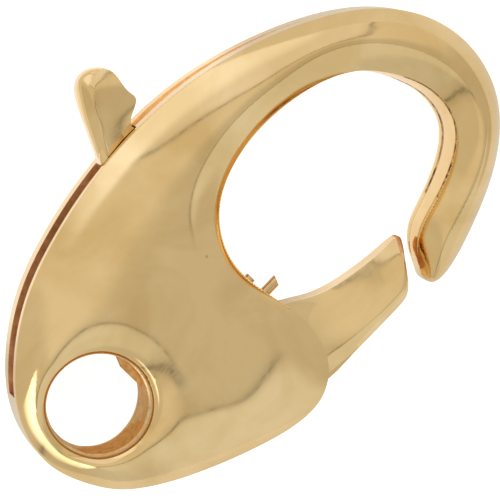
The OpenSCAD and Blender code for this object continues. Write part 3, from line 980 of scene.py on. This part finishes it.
class CLASP_OT_stage(bpy.types.Operator):
    """Pale table, soft light and the camera"""
    bl_idname = "clasp.stage"
    bl_label = "Stage"

    def execute(self, context):
        settings = context.scene.clasp
        self.table(settings)
        self.light(context.scene, settings)
        self.camera(context.scene)
        return {"FINISHED"}

    def table(self, settings):
        """A pale table under the clasp, glowing with painted light, more in pools beside the clasp.
        """
        low = CAD_BOX[0][2]
        corners = np.array([[-1, -1, 0], [1, -1, 0], [1, 1, 0], [-1, 1, 0]]) * TABLE_HALF / MM
        floor = make_mesh("table_top", corners + [0, 0, low / MM], [[0, 1, 2, 3]])
        paper = bpy.data.materials.new("table_paper")
        paper.use_nodes = True
        tree = paper.node_tree
        shader = tree.nodes["Principled BSDF"]
        place = node(tree, "ShaderNodeTexCoord").outputs["Object"]
        grain = noise(tree, place, 60.0, 2.0).outputs["Fac"]
        darker = (*(c * 0.985 for c in settings.floor), 1)
        colour = mix(tree, grain, (*settings.floor, 1), darker)
        tree.links.new(colour, shader.inputs["Base Color"])
        shader.inputs["Roughness"].default_value = 0.9
        # The paper's emission is painted light: a glow, brighter in pools beside the clasp and
        # brightest to the camera.
        shader.inputs["Emission Color"].default_value = (1.0, 0.995, 0.98, 1)
        seen = node(tree, "ShaderNodeLightPath").outputs["Is Camera Ray"]
        bright = GLOW
        for x, y, reach in GLOW_POOLS:
            off = node(tree, "ShaderNodeVectorMath", {0: place, 1: (x * MM, y * MM, low)},
                       operation="DISTANCE").outputs["Value"]
            ends = {"From Min": (reach + GLOW_POOL_EDGE) * MM, "From Max": (reach - GLOW_POOL_EDGE) * MM,
                    "To Min": bright, "To Max": GLOW_NEAR}
            bright = node(tree, "ShaderNodeMapRange", {"Value": off, **ends},
                          interpolation_type="SMOOTHSTEP").outputs[0]
        glow = node(tree, "ShaderNodeMapRange",
                    {"Value": seen, "To Min": bright, "To Max": GLOW_SEEN})
        tree.links.new(glow.outputs[0], shader.inputs["Emission Strength"])
        floor.data.materials.append(paper)

    def light(self, scene, settings):
        """A sky like a pale tent with brighter parts, a lamp for shadows, and a reflector card."""
        world = bpy.data.worlds.new("studio")
        scene.world = world
        world.use_nodes = True
        tree = world.node_tree
        back = tree.nodes["Background"]
        place = node(tree, "ShaderNodeTexCoord").outputs["Generated"]
        stir = noise(tree, place, 2.3, 1.0).outputs["Color"]
        moved = node(tree, "ShaderNodeVectorMath", {0: stir, 1: (WAVER, WAVER, 0), 2: place},
                     operation="MULTIPLY_ADD").outputs[0]
        way = calc(tree, "SUBTRACT", moved, (WAVER / 2, WAVER / 2, 0), "VectorMath")

        def share(x, y, low, high):
            """0 to 1 between two lines across the sky, where x * X + y * Y is low and high."""
            level = node(tree, "ShaderNodeVectorMath", {0: way, 1: (x, y, 0)},
                         operation="DOT_PRODUCT").outputs["Value"]
            return node(tree, "ShaderNodeMapRange",
                        {"Value": level, "From Min": low, "From Max": high},
                        interpolation_type="SMOOTHSTEP").outputs[0]

        # Each part of the sky lies where the clasp's slopes mirror it to the camera: the ceiling,
        # a bright part at the upper right, one below that reaches higher on its left, a duller
        # left end, and a wall behind.
        ceiling = ramp(tree, share(0, 1, -0.24, 0.02), CEILING)
        inside = calc(tree, "MULTIPLY", share(1.68, 0.6, 0.41, 0.65), share(-0.9, 1, -0.32, -0.10))
        upper = ramp(tree, inside, UPPER_EDGE)
        inside = calc(tree, "MULTIPLY", share(1.68, 1, -0.36, -0.50), share(0, 1, -0.12, -0.32))
        inside = calc(tree, "MAXIMUM", inside, share(0, 1, -0.40, -0.56))
        lower = mix(tree, share(1, 0, 0.44, 0.26), WHITE, ramp(tree, inside, LOWER_EDGE))
        left = ramp(tree, share(1, 0, -0.36, -0.52), LEFT_EDGE)
        tone = ceiling
        for part in (upper, lower, left):
            tone = calc(tree, "MULTIPLY", tone, part, "VectorMath")
        behind = calc(tree, "MULTIPLY", share(0, 1, 0.72, 0.88), share(1, 0, -0.25, -0.05))
        tree.links.new(mix(tree, behind, tone, BACK_WALL), back.inputs["Color"])
        back.inputs["Strength"].default_value = settings.light
        key = self.lamp(scene, "key", 400, (-200, 300, 400), (0, 0, 0), 0.35 * settings.light)
        key.visible_glossy = False
        # The card hangs close to the ring end, and only the metal's reflections show it.
        card = self.lamp(scene, "card", 8.5, (-9.2, 0.6, 5.9), (-4.2, 0.6, 0),
                         4.8e-5 * settings.light)
        card.visible_camera = card.visible_diffuse = False
        card.data.spread = np.radians(64)

    def lamp(self, scene, name, side, place, aim, power):
        """A square lamp, of a side and at a place in millimetres, that shines at a point."""
        data = bpy.data.lights.new(name, "AREA")
        data.size = side * MM
        data.energy = power
        lamp = bpy.data.objects.new(name, data)
        scene.collection.objects.link(lamp)
        lamp.location = Vector(place) * MM
        lamp.rotation_euler = (Vector(aim) - Vector(place)).to_track_quat("-Z", "Y").to_euler()
        return lamp

    def camera(self, scene):
        """A camera a little off the face, with the clasp lying aslant in the frame."""
        tilt = np.radians(CAMERA_TILT)
        way = np.array(CAMERA_WAY) / np.hypot(*CAMERA_WAY)
        back = np.array([*(np.sin(tilt) * way), np.cos(tilt)])
        right = np.cross([1.0, 1.0, 0.0], back)
        right /= np.linalg.norm(right)
        up = np.cross(back, right)
        at = (np.array(CAMERA_AIM) + CAMERA_FAR * back) * MM
        lens = bpy.data.cameras.new("camera")
        lens.sensor_width = SENSOR
        lens.lens = SENSOR * FOCUS_PX / PICTURE_PX
        lens.clip_start = 0.005
        camera = bpy.data.objects.new("camera", lens)
        scene.collection.objects.link(camera)
        rows = [[right[i], up[i], back[i], at[i]] for i in range(3)]
        camera.matrix_world = Matrix(rows + [[0, 0, 0, 1]])
        scene.camera = camera


class CLASP_PT_panel(bpy.types.Panel):
    bl_idname = "CLASP_PT_panel"
    bl_label = "Lobster clasp"
    bl_space_type = "VIEW_3D"
    bl_region_type = "UI"
    bl_category = "Clasp"

    def draw(self, context):
        column = self.layout.column()
        for key in ClaspSettings.__annotations__:
            column.prop(context.scene.clasp, key)
        for step in STEPS:
            column.operator(step.bl_idname)


STEPS = (CLASP_OT_body, CLASP_OT_lever, CLASP_OT_pin, CLASP_OT_spring, CLASP_OT_stage)


def register():
    for item in (ClaspSettings, *STEPS, CLASP_PT_panel):
        bpy.utils.register_class(item)
    bpy.types.Scene.clasp = bpy.props.PointerProperty(type=ClaspSettings)


def unregister():
    del bpy.types.Scene.clasp
    for item in reversed((ClaspSettings, *STEPS, CLASP_PT_panel)):
        bpy.utils.unregister_class(item)


def main():
    register()
    bpy.context.scene.view_settings.view_transform = "Standard"
    for step in (bpy.ops.clasp.body, bpy.ops.clasp.lever, bpy.ops.clasp.pin, bpy.ops.clasp.spring,
                 bpy.ops.clasp.stage):
        step()


if __name__ == "__main__":
    main()
